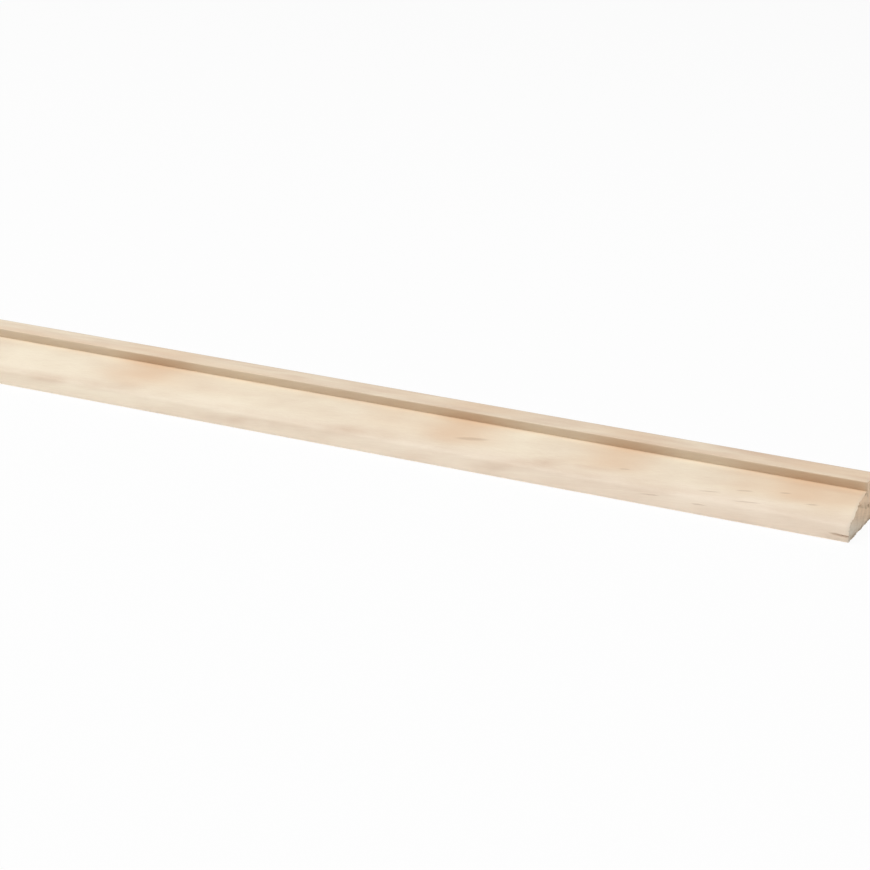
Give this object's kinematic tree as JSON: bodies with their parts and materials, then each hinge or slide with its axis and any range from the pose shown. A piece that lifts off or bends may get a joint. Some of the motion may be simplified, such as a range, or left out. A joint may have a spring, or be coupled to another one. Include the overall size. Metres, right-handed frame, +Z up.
{
  "type": "glazing bead",
  "caption": "Length of planed pine glazing bead with a flat back, a thin lip, an ogee face, a square quirk and a plain flat, pinned into a rebate to hold glass.",
  "frame": {"origin": "middle of the flat back, which lies on the floor", "axes": "+X along the length, +Y from the thin lip towards the thick edge, +Z up out of the flat back"},
  "size_m": [2.4, 0.022, 0.012],
  "materials": {
    "planed_pine": "planed, bare"
  },
  "bodies": {
    "root": {"glazing_bead": "planed_pine"}
  },
  "joints": []
}
